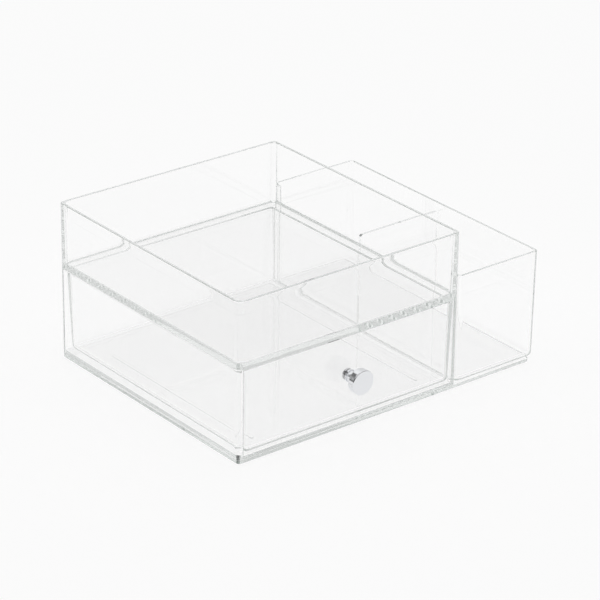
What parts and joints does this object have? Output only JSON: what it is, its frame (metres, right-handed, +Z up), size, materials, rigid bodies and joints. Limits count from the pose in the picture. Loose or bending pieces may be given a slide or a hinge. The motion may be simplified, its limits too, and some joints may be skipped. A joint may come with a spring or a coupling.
{
  "type": "cosmetics organizer with drawer",
  "caption": "Clear moulded vanity organizer: a drawer with a turned metal knob under an open tray, beside an open bin with a cross divider.",
  "frame": {"origin": "on the ground, under the middle of the whole footprint (tower and bin together, without the knob); it lies on the underside of the base plate", "axes": "+X to the right along the front, from the drawer tower to the bin; +Y to the back; +Z up; the drawer front and its knob face -Y"},
  "size_m": [0.2364, 0.1981, 0.1065],
  "materials": {
    "clear_base": "gloss",
    "clear_floor": "gloss",
    "clear_body": "gloss",
    "clear_bin": "gloss",
    "clear_divider": "gloss",
    "clear_drawer": "gloss",
    "polished_knob": "polished",
    "steel_screw": "satin"
  },
  "bodies": {
    "organizer": {"base_plate": "clear_base", "bay_floor": "clear_floor", "tower_body": "clear_body", "side_bin": "clear_bin", "bin_divider": "clear_divider"},
    "drawer": {"drawer_box": "clear_drawer", "drawer_knob": "polished_knob", "knob_screw": "steel_screw"}
  },
  "joints": [
    {"name": "drawer_slide", "type": "slide", "parent": "organizer", "child": "drawer", "axis": [0, -1, 0], "range_m": [0, 0.15]}
  ]
}
